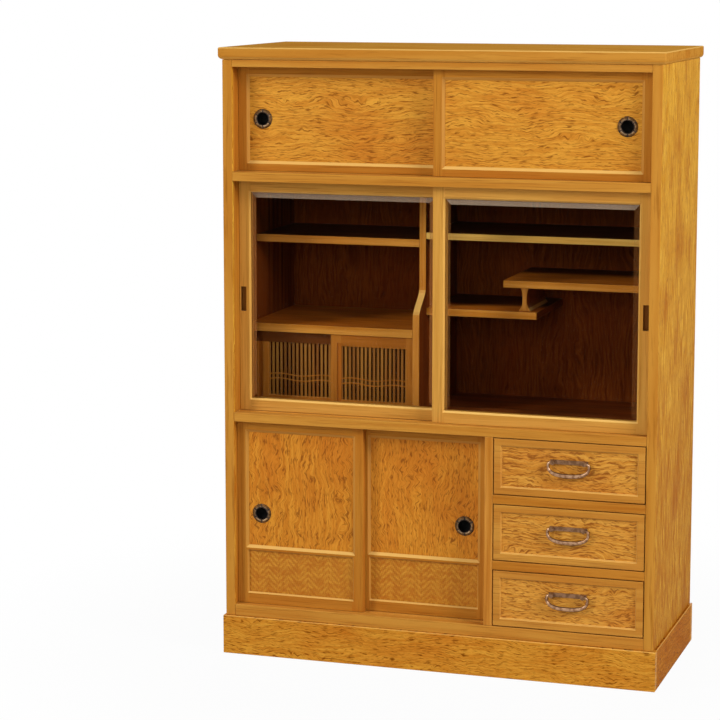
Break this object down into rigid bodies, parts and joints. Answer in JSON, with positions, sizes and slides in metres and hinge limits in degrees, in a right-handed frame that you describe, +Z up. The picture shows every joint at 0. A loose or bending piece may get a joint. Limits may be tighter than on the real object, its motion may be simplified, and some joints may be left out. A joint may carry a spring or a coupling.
{
  "type": "tea cabinet",
  "caption": "Japanese tea cabinet on a plinth with sliding panel doors, a glazed display bay with staggered shelves and a lattice cupboard, and drawers with bail handles.",
  "frame": {"origin": "on the floor under the middle of the bounding box", "axes": "+Z up, the front with the doors faces -Y, +X to the viewer's right"},
  "size_m": [0.91, 0.4002, 1.25],
  "materials": {
    "frame_wood": "satin lacquer, straight grain",
    "figured_wood": "satin lacquer, dense figured grain",
    "inside_wood": "matt",
    "lattice_wood": "satin",
    "wicker": "woven strips, satin",
    "glass": "clear with a ground bevel",
    "pull_metal": "blackened bronze",
    "bronze": "antique bronze"
  },
  "bodies": {
    "case": {"plinth_front": "figured_wood", "plinth_left": "figured_wood", "plinth_right": "figured_wood", "plinth_back": "inside_wood", "left_side": "figured_wood", "right_side": "figured_wood", "top_board": "figured_wood", "back_panel": "inside_wood", "bottom_board": "frame_wood", "head_rail": "frame_wood", "upper_divider": "frame_wood", "lower_divider": "frame_wood", "lower_partition": "frame_wood", "drawer_shelf_lower": "frame_wood", "drawer_shelf_upper": "frame_wood", "left_display_shelf": "frame_wood", "right_display_shelf": "frame_wood", "display_partition": "frame_wood", "lattice_cupboard_top": "frame_wood", "lattice_sill": "frame_wood", "staggered_shelf_high": "frame_wood", "staggered_shelf_low": "frame_wood", "shelf_strut": "frame_wood"},
    "upper_left_door": {"upper_left_door_frame": "frame_wood", "upper_left_door_panel": "figured_wood", "upper_left_door_pull": "pull_metal"},
    "upper_right_door": {"upper_right_door_frame": "frame_wood", "upper_right_door_panel": "figured_wood", "upper_right_door_pull": "pull_metal"},
    "lower_left_door": {"lower_left_door_frame": "frame_wood", "lower_left_door_panel": "figured_wood", "lower_left_door_pull": "pull_metal", "lower_left_door_wicker": "wicker"},
    "lower_right_door": {"lower_right_door_frame": "frame_wood", "lower_right_door_panel": "figured_wood", "lower_right_door_pull": "pull_metal", "lower_right_door_wicker": "wicker"},
    "glass_left_door": {"glass_left_door_frame": "frame_wood", "glass_left_door_pane": "glass"},
    "glass_right_door": {"glass_right_door_frame": "frame_wood", "glass_right_door_pane": "glass"},
    "lattice_left_door": {"lattice_left_door_frame": "frame_wood", "lattice_left_door_slats": "lattice_wood"},
    "lattice_right_door": {"lattice_right_door_frame": "frame_wood", "lattice_right_door_slats": "lattice_wood"},
    "drawer_lower": {"drawer_lower_front": "figured_wood", "drawer_lower_box": "inside_wood", "drawer_lower_bottom": "inside_wood", "drawer_lower_handle_plate": "bronze"},
    "drawer_lower_bail": {"drawer_lower_bail": "bronze"},
    "drawer_middle": {"drawer_middle_front": "figured_wood", "drawer_middle_box": "inside_wood", "drawer_middle_bottom": "inside_wood", "drawer_middle_handle_plate": "bronze"},
    "drawer_middle_bail": {"drawer_middle_bail": "bronze"},
    "drawer_upper": {"drawer_upper_front": "figured_wood", "drawer_upper_box": "inside_wood", "drawer_upper_bottom": "inside_wood", "drawer_upper_handle_plate": "bronze"},
    "drawer_upper_bail": {"drawer_upper_bail": "bronze"}
  },
  "joints": [
    {"name": "upper_left_door_slide", "type": "slide", "parent": "case", "child": "upper_left_door", "axis": [1, 0, 0], "range_m": [0, 0.416]},
    {"name": "upper_right_door_slide", "type": "slide", "parent": "case", "child": "upper_right_door", "axis": [-1, 0, 0], "range_m": [0, 0.416]},
    {"name": "lower_left_door_slide", "type": "slide", "parent": "case", "child": "lower_left_door", "axis": [1, 0, 0], "range_m": [0, 0.2575]},
    {"name": "lower_right_door_slide", "type": "slide", "parent": "case", "child": "lower_right_door", "axis": [-1, 0, 0], "range_m": [0, 0.2575]},
    {"name": "glass_left_door_slide", "type": "slide", "parent": "case", "child": "glass_left_door", "axis": [1, 0, 0], "range_m": [0, 0.416]},
    {"name": "glass_right_door_slide", "type": "slide", "parent": "case", "child": "glass_right_door", "axis": [-1, 0, 0], "range_m": [0, 0.416]},
    {"name": "lattice_left_door_slide", "type": "slide", "parent": "case", "child": "lattice_left_door", "axis": [1, 0, 0], "range_m": [0, 0.1595]},
    {"name": "lattice_right_door_slide", "type": "slide", "parent": "case", "child": "lattice_right_door", "axis": [-1, 0, 0], "range_m": [0, 0.1765]},
    {"name": "drawer_lower_slide", "type": "slide", "parent": "case", "child": "drawer_lower", "axis": [0, -1, 0], "range_m": [0, 0.25]},
    {"name": "drawer_lower_bail_swing", "type": "hinge", "parent": "drawer_lower", "child": "drawer_lower_bail", "pos_m": [0.274, -0.19535, 0.178], "axis": [-1, 0, 0], "range_deg": [0, 90]},
    {"name": "drawer_middle_slide", "type": "slide", "parent": "case", "child": "drawer_middle", "axis": [0, -1, 0], "range_m": [0, 0.25]},
    {"name": "drawer_middle_bail_swing", "type": "hinge", "parent": "drawer_middle", "child": "drawer_middle_bail", "pos_m": [0.274, -0.19535, 0.312], "axis": [-1, 0, 0], "range_deg": [0, 90]},
    {"name": "drawer_upper_slide", "type": "slide", "parent": "case", "child": "drawer_upper", "axis": [0, -1, 0], "range_m": [0, 0.25]},
    {"name": "drawer_upper_bail_swing", "type": "hinge", "parent": "drawer_upper", "child": "drawer_upper_bail", "pos_m": [0.274, -0.19535, 0.446], "axis": [-1, 0, 0], "range_deg": [0, 90]}
  ]
}
